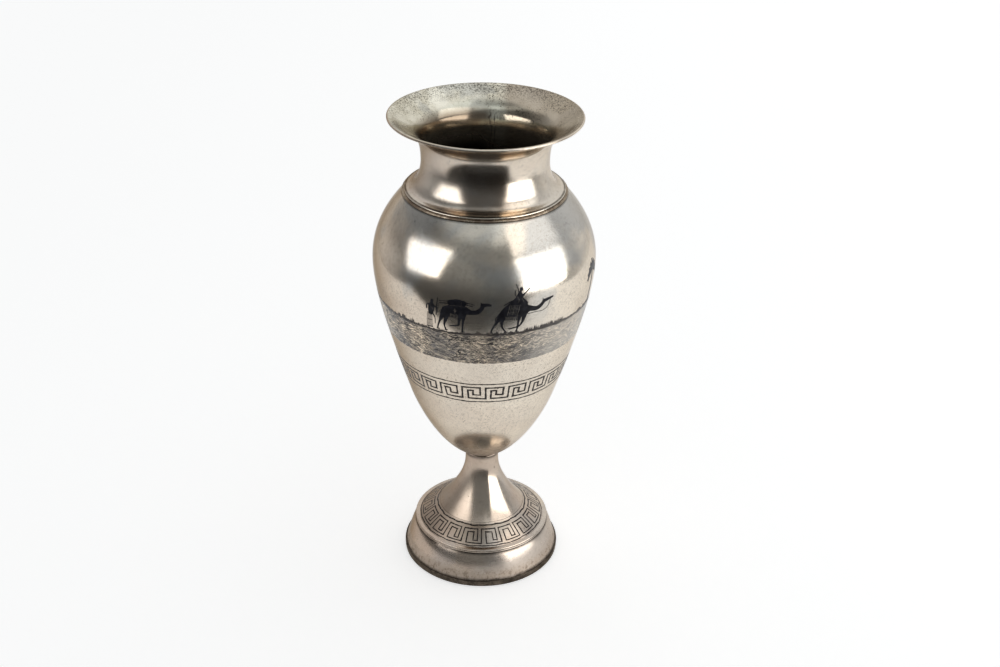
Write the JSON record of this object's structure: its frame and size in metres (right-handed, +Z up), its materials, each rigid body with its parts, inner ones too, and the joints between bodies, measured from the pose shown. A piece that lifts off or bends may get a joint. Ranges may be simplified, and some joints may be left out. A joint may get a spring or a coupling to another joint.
{
  "type": "vase",
  "caption": "Egg-shaped silver vase with a flared neck, on a domed trumpet foot, with black niello bands and figures let into its wall.",
  "frame": {"origin": "centre of the underside of the foot rim, on the surface that the vase stands on", "axes": "+Z up along the axis of the vase, -Y towards the front with the caravan, +X to the right as seen from the front"},
  "size_m": [0.112, 0.112, 0.25],
  "materials": {
    "silver": "worn polish, warm grey silver with fine scratches",
    "tarnished_silver": "tarnished silver, brown to dark grey",
    "niello": "smooth black niello, flush with the silver",
    "ground_niello": "grey-brown niello with bright engraved flecks"
  },
  "bodies": {
    "root": {"foot_rim": "tarnished_silver", "foot_skirt": "silver", "foot_bead": "silver", "foot_stem": "silver", "stem_collar": "silver", "body": "silver", "neck_seat": "tarnished_silver", "neck_bead": "silver", "neck": "silver", "lip_wire": "silver", "foot_key_outer_line": "niello", "foot_key": "niello", "foot_key_inner_line": "niello", "body_key_lower_line": "niello", "body_key": "niello", "body_key_upper_line": "niello", "ground_band": "ground_niello", "herdsman": "niello", "loaded_camel": "niello", "ridden_camel": "niello", "date_palm": "niello", "back_palm": "niello", "back_camel": "niello"}
  },
  "joints": []
}
